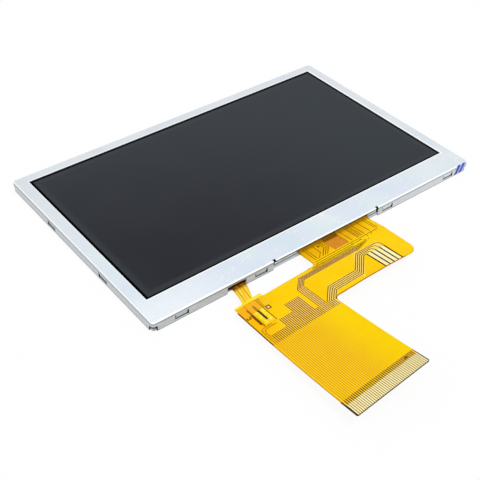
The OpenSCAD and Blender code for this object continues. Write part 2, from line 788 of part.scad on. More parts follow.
module contact_fingers() {
    color("#ecd9a4") film_layer(copper_t + base_t, 2 * copper_t + base_t)
        for (i = [0:contact_count - 1])
            translate([tail_left + contact_margin + i * contact_pitch - contact_w / 2,
                       -tail_end + 0.1])
                square([contact_w, contact_len - 0.1]);
}

module main_flex_base() {
    color("#e2a11c") film_layer(copper_t, copper_t + base_t) film_outline();
}

module main_flex_coverlay() {
    color("#ffd21c", 0.6) film_layer(2 * copper_t + base_t, film_stack_t) difference() {
        film_outline();
        end_field(contact_len);
        pad_field();
        translate([neck_left - over, -bond_v - bond_bare])
            square([neck_w + 2 * over, bond_bare + over]);
    }
}

// Length of bare conductor at the bond to the glass
bond_bare = 1.5;

// The field round the touch panel pads that the front cover film leaves bare
module pad_field() {
    translate([pad_1_x - pad_pitch / 2 - copper_inset, -wing_end - over])
        square([(touch_count - 1) * pad_pitch + 2 * copper_inset, wing_end + over - pad_v]);
}

// Places without the copper plane behind, so that the gaps between the conductors show dark
module plane_windows() {
    x0 = gap_x(first_comb) - contact_pitch / 2;
    x1 = gap_x(second_comb) - contact_pitch / 2;
    x2 = gap_x(third_comb) - contact_pitch / 2;
    x3 = gap_x(comb_end) - contact_pitch / 2;
    x4 = gap_x(first_bus) - contact_pitch / 2;
    polygon([[x0, -comb_tops[0]], [x1, -comb_tops[0]], [x1, -comb_tops[1]], [x2, -comb_tops[1]],
             [x2, -comb_tops[2]], [x3, -comb_tops[2]], [x3, -comb_tops[0]], [x4, -comb_tops[0]],
             [x4, -plane_top], [x0, -plane_top]]);
    for (k = [0:bus_count - 1])
        stroke(concat(bus_run(k), [[gap_x(first_bus + k), -plane_top]]), contact_pitch + eps);
    for (k = [0:touch_count - 1])
        stroke(concat(touch_run(k), [[gap_x(first_touch + k), -plane_top]]),
               touch_lower_pitch + eps);
    pad_field();
    for (m = marks) translate(m) square(mark_size + 2 * copper_inset, center = true);
    joint_gaps(2 * tail_etch_w);
}

module main_flex_ground() {
    color("#b98a2c") film_layer(0, copper_t) {
        difference() {
            film_outline(plane_inset);
            translate([neck_left - over, -neck_len - over])
                square([neck_w + 2 * over, neck_len + 2 * over - bond_v]);
            end_field(tail_end - plane_end);
            plane_windows();
        }
        translate([neck_left + plane_inset, in_glass + panel_gap])
            square([neck_w - 2 * plane_inset, -bond_v - in_glass - 2 * panel_gap]);
    }
}

module main_flex_rear_coverlay() {
    color("#d8a520") film_layer(-coverfilm_t, 0) difference() {
        film_outline();
        translate([neck_left - over, -drop_end])
            square([neck_w + 2 * over, drop_end + over - bond_v]);
        end_field(stiffener_len);
    }
}

module tail_stiffener() {
    color("#e9dcae") film_layer(copper_t - stiffener_t, copper_t) intersection() {
        film_outline();
        end_field(stiffener_len);
    }
}

// ---- backlight circuit ----

lamp_rows_v = concat([for (r = lamp_rows) r[0]], [lap_v, neck_len],
                     [for (i = [1:4]) neck_len + i * wing_h / 4]);
lamp_tail_x = lamp_slot_x + 0.3;
lamp_turn_end = neck_len + 1.4;
lamp_stations = [for (i = [0:6]) i * lamp_turn_end / 6];
function lamp_tail_mid(v) = lamp_tail_x - lamp_tail_slant * smooth(v / lamp_turn_end);

// A layer of the backlight circuit
module lamp_layer(lo, hi) {
    draped_layer(function (x, v) lamp_film_z(x, v), lamp_rows_v, lo, hi) children();
}

// A band along the backlight circuit's tail, from distance v0 to v1, of width w
module lamp_band(v0, v1, w, shift = 0, flare = 0) {
    run = concat([v0], [for (v = lamp_stations) if (v > v0 && v < v1) v], [v1]);
    side = [for (v = run) (w + flare * (1 - smooth(v / neck_len))) / 2];
    n = len(run);
    polygon(concat(
        [for (i = [0:n - 1]) [lamp_tail_mid(run[i]) + shift - side[i], -run[i]]],
        [for (i = [n - 1:-1:0]) [lamp_tail_mid(run[i]) + shift + side[i], -run[i]]]));
}

module lamp_flex() {
    strip_l = (lamp_count - 1) * lamp_pitch + lamp_l + 3;
    color("#e0a01e") {
        translate([-strip_l / 2, front_y + in_pocket + sheet_gap, z_reflector])
            cube([strip_l, in_lamp_front - in_pocket - 2 * sheet_gap, lamp_film_t]);
        lamp_layer(0, lamp_film_t)
            lamp_band(-in_pocket - 0.5, lamp_tail_len, lamp_tail_w, 0, lamp_tail_flare);
    }
}

// The backlight circuit's two conductors and the bare margin outside them
lamp_track_gap = 0.5;
lamp_track_margin = 0.15;
lamp_track_w = (lamp_tail_w - lamp_track_gap) / 2 - lamp_track_margin;
lamp_track_shift = (lamp_track_w + lamp_track_gap) / 2;
joint_len = 4;
joint_round = 0.3;

module lamp_flex_tracks() {
    color("#d9ac3a") lamp_layer(lamp_film_t, lamp_film_t + copper_t)
        for (s = [-1, 1]) lamp_band(-0.2, lamp_tail_len - 2 * lamp_track_margin,
                                    lamp_track_w, s * lamp_track_shift);
}

module lamp_solder() {
    color("#f1e9b8") lamp_layer(lamp_film_t + copper_t, lamp_film_t + copper_t + solder_t)
        for (s = [-1, 1]) rounded(joint_round)
            lamp_band(lamp_tail_len - 3 * lamp_track_margin - joint_len,
                      lamp_tail_len - 3 * lamp_track_margin,
                      lamp_track_w - lamp_track_margin, s * lamp_track_shift);
}

// A patch of adhesive tape over the backlight circuit where it lies on the wing
module joint_tape() {
    top = lamp_film_t + copper_t;
    color("#ffe14a", 0.5) {
        tape_layer(0, patch_t) difference() {
            tape_outline();
            lap(patch_step);
        }
        tape_layer(top, top + patch_t) intersection() {
            tape_outline();
            lap(0);
        }
        tape_layer(0, top + patch_t) intersection() {
            tape_outline();
            difference() {
                lap(patch_step);
                lap(0);
            }
        }
    }
}

// The backlight circuit's tail, widened by d at each side
module lap(d) {
    lamp_band(0, lamp_tail_len + over, lamp_tail_w + 2 * d, 0, lamp_tail_flare);
}

module tape_outline() {
    translate([tail_left + patch_l, patch_overhang - neck_len]) rotate(patch_turn)
        translate([-patch_l, -patch_w]) square([patch_l, patch_w]);
}

// How far the tape patch stands past the wing's edge, and its width where it steps up
patch_overhang = 0.6;
patch_step = 0.1;

// A layer of the tape patch, lying on the panel circuit
module tape_layer(lo, hi) {
    film_layer(film_stack_t + lo, film_stack_t + hi) children();
}

front_bezel();
rear_cover();
mould_frame();
front_polarizer();
color_filter_glass();
array_glass();
rear_polarizer();
driver_chip();
rim_tape();
prism_sheet_upper();
prism_sheet_lower();
diffuser_sheet();
light_guide();
reflector_sheet();
lamp_flex();
lamp_flex_tracks();
lamp_windows();
for (i = [1:lamp_count]) lamp(i);
main_flex_base();
main_flex_tracks();
main_flex_ground();
main_flex_coverlay();
main_flex_rear_coverlay();
contact_fingers();
touch_pads();
tail_stiffener();
lamp_solder();
joint_tape();
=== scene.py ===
"""Looks for a flat colour display module.

A folded steel case with a dark screen, and two amber film circuits that lie in front of it.
Places are in millimetres: x to the right, y to the back, z up from the table.
"""

import math

import bmesh
import bpy
from mathutils import Matrix, Vector


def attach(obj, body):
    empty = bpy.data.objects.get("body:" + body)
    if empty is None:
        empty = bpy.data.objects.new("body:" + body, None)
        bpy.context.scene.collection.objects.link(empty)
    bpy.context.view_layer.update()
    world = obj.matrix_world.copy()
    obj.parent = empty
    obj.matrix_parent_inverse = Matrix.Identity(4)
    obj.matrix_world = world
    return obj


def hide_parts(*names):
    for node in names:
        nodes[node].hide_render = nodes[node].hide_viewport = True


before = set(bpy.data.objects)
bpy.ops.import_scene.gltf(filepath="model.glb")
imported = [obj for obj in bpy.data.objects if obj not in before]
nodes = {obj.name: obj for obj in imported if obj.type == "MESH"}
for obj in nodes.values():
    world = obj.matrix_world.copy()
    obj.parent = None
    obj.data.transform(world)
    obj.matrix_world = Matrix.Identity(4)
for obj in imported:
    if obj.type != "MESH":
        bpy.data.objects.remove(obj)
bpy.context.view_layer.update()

MM = 0.001
ANYWHERE = 1000.0   # the reach of a mask that ends nowhere in that direction
X, Y, Z = (1, 0, 0), (0, 1, 0), (0, 0, 1)


def corners_of(node):
    """A CAD node's lowest and highest corner, in millimetres."""
    spots = [vertex.co / MM for vertex in nodes[node].data.vertices]
    return [Vector([pick(spot[k] for spot in spots) for k in range(3)]) for pick in (min, max)]


# ---- camera --------------------------------------------------------------------------

VIEW_TARGET = Vector((-16.95, -19.64, 0.0)) * MM
VIEW_DISTANCE = 228.95 * MM
VIEW_AZIMUTH = math.radians(-38.69)
VIEW_ELEVATION = math.radians(40.20)
VIEW_ROLL = math.radians(1.13)
VIEW_LENS = 67.9


def place_camera():
    back = Vector((
        math.sin(VIEW_AZIMUTH) * math.cos(VIEW_ELEVATION),
        -math.cos(VIEW_AZIMUTH) * math.cos(VIEW_ELEVATION),
        math.sin(VIEW_ELEVATION),
    ))
    level = (-back).cross(Vector((0, 0, 1))).normalized()
    upright = back.cross(level)
    right = level * math.cos(VIEW_ROLL) + upright * math.sin(VIEW_ROLL)
    up = upright * math.cos(VIEW_ROLL) - level * math.sin(VIEW_ROLL)
    data = bpy.data.cameras.new("camera")
    data.lens = VIEW_LENS
    data.clip_start = 0.01
    camera = bpy.data.objects.new("camera", data)
    turn = Matrix((right, up, back)).transposed().to_4x4()
    camera.matrix_world = Matrix.Translation(VIEW_TARGET + back * VIEW_DISTANCE) @ turn
    bpy.context.collection.objects.link(camera)
    bpy.context.scene.camera = camera


place_camera()

# ---- finishes ------------------------------------------------------------------------


def tone(code):
    """The linear values that shaders use, for a colour written as six hexadecimal digits."""
    parts = [int(code[i:i + 2], 16) / 255 for i in (0, 2, 4)]
    linear = [c / 12.92 if c <= 0.04045 else ((c + 0.055) / 1.055) ** 2.4 for c in parts]
    return (*linear, 1.0)


class Finish:
    """A material whose colour, roughness and relief come from patterns in millimetres."""

    def __init__(self, name, roughness, metallic=0.0, specular=0.5):
        self.material = bpy.data.materials.new(name)
        self.material.use_nodes = True
        self.tree = self.material.node_tree
        self.shader = self.tree.nodes["Principled BSDF"]
        self.shader.inputs["Roughness"].default_value = roughness
        self.shader.inputs["Metallic"].default_value = metallic
        self.shader.inputs["Specular IOR Level"].default_value = specular
        spot = self.node("ShaderNodeTexCoord").outputs["Object"]
        self.spot = self.vector("MULTIPLY", spot, (1 / MM, 1 / MM, 1 / MM))

    def node(self, kind, sockets=None, **settings):
        made = self.tree.nodes.new(kind)
        for name, value in settings.items():
            setattr(made, name, value)
        for name, value in (sockets or {}).items():
            if isinstance(value, bpy.types.NodeSocket):
                self.tree.links.new(value, made.inputs[name])
            else:
                made.inputs[name].default_value = value
        return made

    def vector(self, operation, a, b=(0, 0, 0)):
        made = self.node("ShaderNodeVectorMath", {0: a, 1: b}, operation=operation)
        return made.outputs["Value" if operation in ("LENGTH", "DOT_PRODUCT") else "Vector"]

    def maths(self, operation, a, b=0.0):
        return self.node("ShaderNodeMath", {0: a, 1: b}, operation=operation).outputs[0]

    def both(self, a, b):
        """Two masks together, or a mask weakened to a share of its strength."""
        return self.maths("MULTIPLY", a, b)

    def either(self, *masks):
        """A mask: 1 wherever one of the given masks is."""
        whole = masks[0]
        for mask in masks[1:]:
            whole = self.maths("MAXIMUM", whole, mask)
        return whole

    def outside(self, mask):
        return self.maths("SUBTRACT", 1.0, mask)

    def fade(self, value, low, high, start=0.0, end=1.0):
        """A smooth step from start to end while the value goes from low to high."""
        made = self.node(
            "ShaderNodeMapRange",
            {"Value": value, "From Min": low, "From Max": high, "To Min": start, "To Max": end},
            interpolation_type="SMOOTHSTEP",
        )
        return made.outputs["Result"]

    def along(self, axis):
        """Distance along a direction, in millimetres."""
        return self.vector("DOT_PRODUCT", self.spot, axis)

    def grain(self, size, stretch=(1, 1, 1), detail=3.0):
        """Soft irregular noise whose grains are about size millimetres across."""
        stretched = self.vector("DIVIDE", self.spot, stretch)
        sockets = {"Vector": stretched, "Scale": 1 / size, "Detail": detail, "Roughness": 0.55}
        return self.node("ShaderNodeTexNoise", sockets).outputs[0]

    def spots(self, size, radius):
        """Small round spots, about one to each square of the size given."""
        sockets = {"Vector": self.spot, "Scale": 1 / size}
        distance = self.node("ShaderNodeTexVoronoi", sockets).outputs["Distance"]
        return self.fade(distance, 0.0, radius, 1.0, 0.0)

    def ramp(self, value, *stops):
        """Colours spread over a value: each stop is a place from 0 to 1 and its colour."""
        made = self.node("ShaderNodeValToRGB", {"Fac": value})
        ends = made.color_ramp.elements
        while len(ends) < len(stops):
            ends.new(0.5)
        for element, (position, colour) in zip(ends, stops):
            element.position = position
            element.color = tone(colour)
        return made.outputs["Color"]

    def mix(self, below, above, amount):
        """The colour below with the one above laid over it by the amount."""
        made = self.node("ShaderNodeMix", data_type="RGBA")
        for index, value in ((0, amount), (6, below), (7, above)):
            value = tone(value) if isinstance(value, str) else value
            if isinstance(value, bpy.types.NodeSocket):
                self.tree.links.new(value, made.inputs[index])
            else:
                made.inputs[index].default_value = value
        return made.outputs[2]

    def patch(self, centre, reach, soft=0.5):
        """A mask: 1 inside the ellipse of that reach round a centre, fading to 0 outside it."""
        offset = self.vector("DIVIDE", self.vector("SUBTRACT", self.spot, centre), reach)
        return self.fade(self.vector("LENGTH", offset), 1 - soft, 1 + soft, 1.0, 0.0)

    def field(self, centre, reach, soft=0.02):
        """A mask: 1 inside a rectangle in plan, given by its centre and half sizes."""
        offset = self.vector("DIVIDE", self.vector("SUBTRACT", self.spot, centre), reach)
        parts = self.node("ShaderNodeSeparateXYZ", {0: self.vector("ABSOLUTE", offset)}).outputs
        return self.fade(self.maths("MAXIMUM", parts[0], parts[1]), 1 - soft, 1 + soft, 1.0, 0.0)

    def band(self, axis, low, high, soft=0.1):
        """A mask: 1 between two distances along a direction, measured either way from 0."""
        away = self.maths("ABSOLUTE", self.along(axis))
        rise = self.fade(away, low - soft, low + soft)
        return self.both(rise, self.fade(away, high - soft, high + soft, 1.0, 0.0))

    def facing(self, axis):
        """1 where the surface faces along a direction, -1 where it faces against it."""
        normal = self.node("ShaderNodeNewGeometry").outputs["Normal"]
        return self.vector("DOT_PRODUCT", normal, axis)

    def facing_up(self):
        return self.facing(Z)

    def colour(self, socket):
        """Puts a pattern's colour on the material."""
        self.tree.links.new(socket, self.shader.inputs["Base Color"])

    def roughness(self, value, low, high):
        """Lets the roughness wander from low to high with a noise."""
        rough = self.fade(value, 0.3, 0.7, low, high)
        self.tree.links.new(rough, self.shader.inputs["Roughness"])

    def relief(self, height, strength, depth):
        """Bumps the surface by a height pattern, depth in millimetres."""
        sockets = {"Height": height, "Strength": strength, "Distance": depth * MM}
        bump = self.node("ShaderNodeBump", sockets).outputs["Normal"]
        self.tree.links.new(bump, self.shader.inputs["Normal"])

    def span(self, axis, low, high, soft=0.1):
        """A mask: 1 between two places along a direction."""
        rise = self.fade(self.along(axis), low - soft, low + soft)
        return self.both(rise, self.fade(self.along(axis), high - soft, high + soft, 1.0, 0.0))

    def area(self, x, y, soft=0.1):
        """A mask: 1 inside a rectangle in plan, given by its sides."""
        return self.both(self.span(X, *x, soft), self.span(Y, *y, soft))

    def solid(self, mask, low, high):
        """Makes the layer see-through: low is how solid it is outside the mask, high inside."""
        self.tree.links.new(self.fade(mask, 0.0, 1.0, low, high), self.shader.inputs["Alpha"])


def dress(finish, *names):
    """Puts a finish on CAD nodes, which keep their meshes."""
    for name in names:
        mesh = nodes[name].data
        mesh.materials.clear()
        mesh.materials.append(finish.material)


# ---- folded steel --------------------------------------------------------------------

CASE_HALF_X, CASE_HALF_Y, CASE_TOP = corners_of("front_bezel")[1]
BEYOND = 60.0   # past every side of the case
NOTCH_TOP = 1.45
WINDOW_CENTRE = (0.15, 2.15, 0.0)
WINDOW_HALF = (49.35, 28.35)
TAB_SLOTS_X = (42.5, 46.7), (19.2, 23.4)   # the snap tabs in the long walls, with their slits
TAB_SLOT_Y = 10.3, 14.5                    # and in the end walls
SLIT = 0.2
TAB_FACE_Z = 0.75, 1.95
BEZEL_CORNER = 51.3, 32.2
COVER_CORNER = 51.0, 31.8
CIRCUIT_OPENING = (-18, 19), (-34, -33)


def window(f, grown, soft):
    """A mask: 1 inside the window, grown past its edge or shrunk by a negative size."""
    half = [side + grown for side in WINDOW_HALF]
    return f.field(WINDOW_CENTRE, (*half, ANYWHERE), soft)


def corners(f, x, y):
    """A mask: 1 at the four corners of the case, past those distances from its middle."""
    return f.both(f.band(X, x, BEYOND), f.band(Y, y, BEYOND))


def bezel_top(f):
    """The front face: brushed pale, whiter at its near left corner, with small bright flecks."""
    cloud = f.grain(15, detail=2.0)
    front = f.ramp(cloud, (0.34, "d3e1eb"), (0.46, "dae2ee"), (0.56, "d9e6ea"), (0.68, "e3e9ef"))
    back = f.ramp(cloud, (0.34, "d2dbe1"), (0.5, "dbdde3"), (0.68, "d9e1e2"))
    top = f.mix(front, back, f.fade(f.along((0.3, 1, 0)), -34, 20))
    near_corner = f.patch((-50, -32, 0), (14, 7, ANYWHERE), 0.8)
    top = f.mix(top, "f6f8fa", f.both(near_corner, 0.55))
    flecks = f.both(f.spots(0.9, 0.36), f.fade(f.grain(4.0, detail=1.0), 0.49, 0.62))
    flecks = f.both(flecks, f.fade(f.along((-0.3, 1, 0)), -5, -20))
    return f.mix(top, "ffffff", flecks)


def bezel_wall(f):
    """The folded walls: paler to the right, with a line of painted shade along the foot and bright
    snap tabs.
    """
    wall = f.ramp(f.grain(0.7, stretch=(5, 5, 0.5)), (0.3, "b3b6b5"), (0.7, "cbcdcc"))
    wall = f.mix(wall, "dce0e3", f.fade(f.along(X), -20, 45, 0.0, 0.75))
    left_end = f.fade(f.along(X), -CASE_HALF_X + 0.75, -CASE_HALF_X + 0.15)
    wall = f.mix(wall, "d0d4d6", left_end)
    # painted shade: a dark line along the foot of the walls
    foot_shade = f.fade(f.along(Z), 0.38, 0.22)
    wall = f.mix(wall, "63686a", f.both(foot_shade, 0.85))
    tab_faces = f.either(*(f.span(X, low + SLIT, high - SLIT) for low, high in TAB_SLOTS_X))
    tab_faces = f.both(tab_faces, f.span(Z, *TAB_FACE_Z))
    return f.mix(wall, "f4f6f6", f.both(tab_faces, 0.6))


def bezel_finish():
    f = Finish("bezel_steel", 0.4, metallic=0.25, specular=0.3)
    colour = f.mix(bezel_wall(f), bezel_top(f), f.fade(f.facing_up(), 0.25, 0.8))
    fine = f.grain(0.22, detail=2.0)
    colour = f.mix(colour, "ffffff", f.fade(fine, 0.55, 0.8, 0.0, 0.3))
    # painted highlight: a white line along the window's cut edge
    colour = f.mix(colour, "ffffff", window(f, 0.3, 0.003))
    # painted highlight: white along the rounded outer rim
    rim_highlight = f.both(f.fade(f.facing_up(), 0.35, 0.6), f.fade(f.facing_up(), 0.985, 0.9))
    colour = f.mix(colour, "ffffff", rim_highlight)
    # painted shade: a dark line on the walls just under the rim
    rim_shade = f.fade(f.along(Z), CASE_TOP - 0.7, CASE_TOP - 0.55)
    rim_shade = f.both(rim_shade, f.fade(f.facing_up(), 0.25, 0.1))
    colour = f.mix(colour, "6f7475", f.both(rim_shade, 0.8))
    # painted shade: the downward faces are darkened
    underside_shade = f.fade(f.facing_up(), -0.2, -0.5)
    colour = f.mix(colour, "3c3f40", underside_shade)
    # painted shade: the sheet's faces in the tab slits are darkened
    colour = f.mix(colour, "17191a", slit_shade(f))
    # painted shade: the bezel's corners are darkened at and below the notch's top edge
    notch_shade = f.fade(f.along(Z), NOTCH_TOP + 0.3, NOTCH_TOP + 0.1)
    colour = f.mix(colour, "1c1e1f", f.both(corners(f, *BEZEL_CORNER), notch_shade))
    f.colour(ink_strokes(f, colour))
    f.roughness(fine, 0.34, 0.48)
    f.relief(f.grain(0.3, detail=4.0), 0.25, 0.015)
    return f


INK_LEAN = (1, 0, -0.42)
INK_SMEAR = 49.2, "a4b2ff"
INK_STROKES = (
    # middle and half width in mm along the wall, colour
    (48.1, 0.55, "223884"),
    (49.9, 0.5, "2a4298"),
)


def ink_strokes(f, colour):
    """Two strokes of a blue marker across the front wall, near its right end."""
    place = f.maths("ADD", f.along(INK_LEAN), f.both(f.grain(0.6), 0.5))
    on_wall = f.fade(f.along(Y), -CASE_HALF_Y + 0.35, -CASE_HALF_Y + 0.15)
    middle, faint = INK_SMEAR
    smear = f.fade(f.maths("ABSOLUTE", f.maths("SUBTRACT", place, middle)), 1.4, 2.1, 1.0, 0.0)
    colour = f.mix(colour, faint, f.both(smear, on_wall))
    for middle, width, ink in INK_STROKES:
        away = f.maths("ABSOLUTE", f.maths("SUBTRACT", place, middle))
        stroke = f.fade(away, width * 0.5, width * 1.5, 1.0, 0.0)
        colour = f.mix(colour, ink, f.both(stroke, on_wall))
    return colour


def tab_slots(f, long_wall, end_wall):
    """Two masks, on the long walls and on the end walls: 1 at the snap tabs and their slits.

    The two distances say how far from the middle of the case those walls begin.
    """
    along_wall = f.either(*(f.band(X, *slot) for slot in TAB_SLOTS_X))
    long_walls = f.both(along_wall, f.band(Y, long_wall, BEYOND))
    return long_walls, f.both(f.band(Y, *TAB_SLOT_Y), f.band(X, end_wall, BEYOND))


def slit_shade(f):
    """A mask: 1 on the sheet's own thickness in the slits round the snap tabs, where painted shade
    goes.
    """
    across_x = f.fade(f.maths("ABSOLUTE", f.facing(X)), 0.7, 0.4)
    across_y = f.fade(f.maths("ABSOLUTE", f.facing(Y)), 0.7, 0.4)
    low = f.both(f.fade(f.along(Z), 2.3, 2.2), f.fade(f.facing_up(), 0.9, 0.8))
    long_walls, end_walls = tab_slots(f, 33.0, 52.0)
    return f.both(f.either(f.both(long_walls, across_y), f.both(end_walls, across_x)), low)


def near_tabs(f):
    """A mask: 1 on what stands behind the slits round the snap tabs, where painted shade goes."""
    return f.either(*tab_slots(f, 32.0, 51.0))


def cover_finish():
    """Satin steel, with painted shade behind the bezel's slits, in bands at its corners and at the
    circuit's lip.
    """
    f = Finish("cover_steel", 0.42, metallic=0.5)
    streaks = f.grain(0.8, stretch=(14, 0.5, 1))
    colour = f.ramp(streaks, (0.3, "b6bbbd"), (0.7, "ccd0d1"))
    above_fold = f.fade(f.along(Z), 0.4, 0.5)
    # painted shade: darkened behind the bezel's slits
    colour = f.mix(colour, "26292a", f.both(near_tabs(f), above_fold))
    # painted shade: dark bands at the corners, seen through the bezel's notches
    corner_shade = f.either(f.span(Z, 0.88, 2.2, 0.06), f.span(Z, 0.28, 0.5, 0.06))
    colour = f.mix(colour, "121415", f.both(corners(f, *COVER_CORNER), corner_shade))
    # painted shade: dark under the bezel's edge at the circuit's opening
    lip_shade = f.both(f.area(*CIRCUIT_OPENING), f.fade(f.along(Z), 1.16, 1.24))
    f.colour(f.mix(colour, "2a2c2c", lip_shade))
    f.roughness(streaks, 0.34, 0.5)
    f.relief(f.grain(0.3, stretch=(6, 1, 1)), 0.2, 0.01)
    return f


dress(bezel_finish(), "front_bezel")
dress(cover_finish(), "rear_cover")

# ---- screen --------------------------------------------------------------------------


def polarizer_finish():
    """The dark film on the glass: greyer to the back, lighter round its edge as a painted
    highlight, with a black border.
    """
    f = Finish("polarizer_film", 0.42, specular=0.0)
    tint = f.ramp(f.grain(26, detail=1.0), (0.35, "2f3035"), (0.5, "323237"), (0.65, "2e3235"))
    tint = f.mix(tint, "3a3e41", f.fade(f.along((1, -0.3, 0)), -15, 45))
    back = f.fade(f.along((0.35, 0.8, 0)), -34, 40)
    colour = f.mix(tint, "404448", back)
    # painted highlight: a lighter band round the edge of the film
    colour = f.mix(f.mix(colour, "454a4e", 0.4), colour, window(f, -2.2, 0.02))
    f.colour(f.mix("020304", colour, window(f, -0.7, 0.001)))
    haze = f.grain(0.12, detail=1.0)
    f.roughness(haze, 0.38, 0.46)
    f.relief(haze, 0.08, 0.004)
    return f


def mask_finish():
    f = Finish("black_mask_glass", 0.3, specular=0.04)
    f.colour(f.ramp(f.grain(3), (0.3, "010203"), (0.7, "040607")))
    return f


dress(polarizer_finish(), "front_polarizer")
dress(mask_finish(), "color_filter_glass")

# ---- inner stack ---------------------------------------------------------------------

INNER = {
    # node: (dark colour, light colour, size of the mottling in mm, roughness)
    "array_glass": ("8fa3a6", "a5b8ba", 6.0, 0.08),
    "rear_polarizer": ("1b1b1e", "232327", 9.0, 0.3),
    "driver_chip": ("17171a", "26262a", 0.4, 0.35),
    "rim_tape": ("09090a", "131314", 1.5, 0.6),
    "prism_sheet_upper": ("d5dde4", "e6ecf1", 2.0, 0.25),
    "prism_sheet_lower": ("d5dde4", "e6ecf1", 2.0, 0.25),
    "diffuser_sheet": ("e9eaec", "f4f5f6", 2.0, 0.6),
    "light_guide": ("d9e6ea", "eaf3f5", 5.0, 0.1),
    "reflector_sheet": ("f0f1f1", "fafafa", 3.0, 0.35),
    "lamp_windows": ("d8b23a", "ecce5c", 0.5, 0.3),
}
for name, (dark, light, size, rough) in INNER.items():
    inner = Finish(name + "_finish", rough)
    mottle = inner.grain(size)
    inner.colour(inner.ramp(mottle, (0.3, dark), (0.7, light)))
    inner.relief(mottle, 0.1, 0.01)
    dress(inner, name)


SILL_EDGE = 1.4, 1.5    # height of the moulded sill in the circuit's opening


def moulding_finish():
    """The moulded frame: pale where its sill shows, dark in the shade of the bezel."""
    f = Finish("moulded_frame", 0.5, specular=0.2)
    pale = f.ramp(f.grain(1.2), (0.3, "c9cdcd"), (0.7, "e6e9e8"))
    under_sill = f.fade(f.along(Z), *reversed(SILL_EDGE))
    inside = f.fade(f.along(Y), -33.25, -33.15)
    front = f.fade(f.along(Y), -32.0, -32.6)
    dark = f.both(front, f.either(under_sill, inside))
    f.colour(f.mix(pale, "202222", f.either(near_tabs(f), dark)))
    return f


dress(moulding_finish(), "mould_frame")
lamp_body = Finish("lamp_body", 0.45)
lamp_body.colour(lamp_body.ramp(lamp_body.grain(0.3), (0.3, "e9e8e2"), (0.7, "f6f5ef")))
dress(lamp_body, *(name for name in nodes if name.removeprefix("lamp_").isdigit()))

# ---- film circuits -------------------------------------------------------------------

LIFT = 0.002 * MM   # keeps a see-through layer's face off the copper that it lies on

TAIL_LOW, TAIL_HIGH = corners_of("tail_stiffener")
CONTACT_TOP = corners_of("contact_fingers")[1].y
BARE_START = CONTACT_TOP - 0.2   # the dark band between the contacts and the cover films
PLANE = (TAIL_HIGH.y, -54.0)     # the stretch of the tail that has a copper plane underneath

FEED_LINES = (
    # x from, x to, y from, y to: where the panel's own conductors run close together
    (-24.3, -20.0, -53.9, -45.7),
    (-28.4, -24.3, -53.9, -48.7),
    (-33.4, -28.4, -53.9, -51.4),
    (-20.0, -19.2, -53.9, -51.4),
    (-18.8, -16.7, -53.9, -43.9),
    (-16.2, 3.0, -42.3, -40.8),
)
FEED_SLANTS = (
    # direction across, from, to, x from, x to
    ((0.743, -0.669, 0), 15.3, 16.8, -18.8, -15.9),
)
TOUCH_LINES = (
    # the same, for the conductors of the touch pads
    (-12.2, -3.4, -50.1, -47.5),
    (0.5, 8.2, -45.0, -42.7),
    (-16.3, -14.2, -53.9, -51.4),
)
TOUCH_SLANTS = (
    ((0.744, -0.668, 0), 28.9, 31.2, -3.9, 1.4),
    ((0.726, -0.688, 0), 23.7, 25.8, -16.2, -12.1),
)

# the joint of the two circuits, whose slots and gaps are painted dark as shade: x from and to, y
# from and to
SLOT_SHADE = (-32.75, -32.0), (-47.7, -41.5)
OPEN_SLOT = (-32.6, -32.1), (-47.4, -41.6)
TAPED_SLOT = (-32.5, -32.1), (-43.9, -41.7)
FILM_GAP = (-30.7, -30.1), (-46.9, -41.6)
TRACK_GAP = (-30.75, -30.05), (-46.9, -41.8)


def conductors(f, straight, slanted):
    """A mask: 1 on those stretches of close conductors."""
    parts = [f.area((x0, x1), (y0, y1), 0.05) for x0, x1, y0, y1 in straight]
    for across, low, high, x0, x1 in slanted:
        parts.append(f.both(f.span(across, low, high, 0.05), f.span(X, x0, x1, 0.05)))
    return f.either(*parts)


def track_finish():
    """Copper under the yellow cover film, more orange near the case and the lamps' joint, with
    painted shade under the bezel's edge and on its sides.
    """
    f = Finish("covered_tracks", 0.36, specular=0.05)
    colour = f.ramp(f.grain(9, detail=2.0), (0.35, "ffcd00"), (0.65, "ffd606"))
    colour = f.mix(colour, "ffcc6e", conductors(f, FEED_LINES, FEED_SLANTS))
    colour = f.mix(colour, "ffdc74", conductors(f, TOUCH_LINES, TOUCH_SLANTS))
    colour = f.mix(colour, "ffc850", f.span(Y, BARE_START, TAIL_HIGH.y - 0.05, 0.03))
    pin_hole = f.patch((-27.7, -43.9, 0), (0.35, 0.35, ANYWHERE), 0.2)
    colour = f.mix(colour, "f6e2c0", pin_hole)
    neck = f.both(f.fade(f.along(Y), -39.4, -36.5), f.fade(f.along(X), 14, 7))
    colour = f.mix(colour, "f0b000", f.both(neck, 0.9))
    by_joint = f.patch((-33.5, -47.0, 0), (4.5, 8.0, ANYWHERE), 0.6)
    colour = f.mix(colour, "ffbe00", by_joint)
    on_tail = f.patch((-28.0, -66.0, 0), (8.0, 14.0, ANYWHERE), 0.6)
    colour = f.mix(colour, "ffd41c", on_tail)
    # painted shade: darker where the film goes under the bezel
    colour = f.mix(colour, "8a5c00", f.fade(f.along(Y), -34.4, -33.7, 0.0, 0.8))
    off_plane = f.outside(f.span(Y, *PLANE, 0.03))
    # painted shade: the copper's sides are darkened
    sides = f.both(f.fade(f.facing_up(), 0.7, 0.4), off_plane)
    f.colour(f.mix(colour, "3c1800", sides))
    f.relief(f.grain(2.5, detail=1.0), 0.15, 0.02)
    return f


def ground_finish():
    """The rear copper, seen between the front conductors: darker under the tail's left side."""
    f = Finish("covered_ground", 0.4, specular=0.05)
    left = f.ramp(f.grain(5), (0.3, "c48810"), (0.7, "d09418"))
    f.colour(f.mix(left, "ffd000", f.fade(f.along(X), -24.0, -16.0)))
    return f


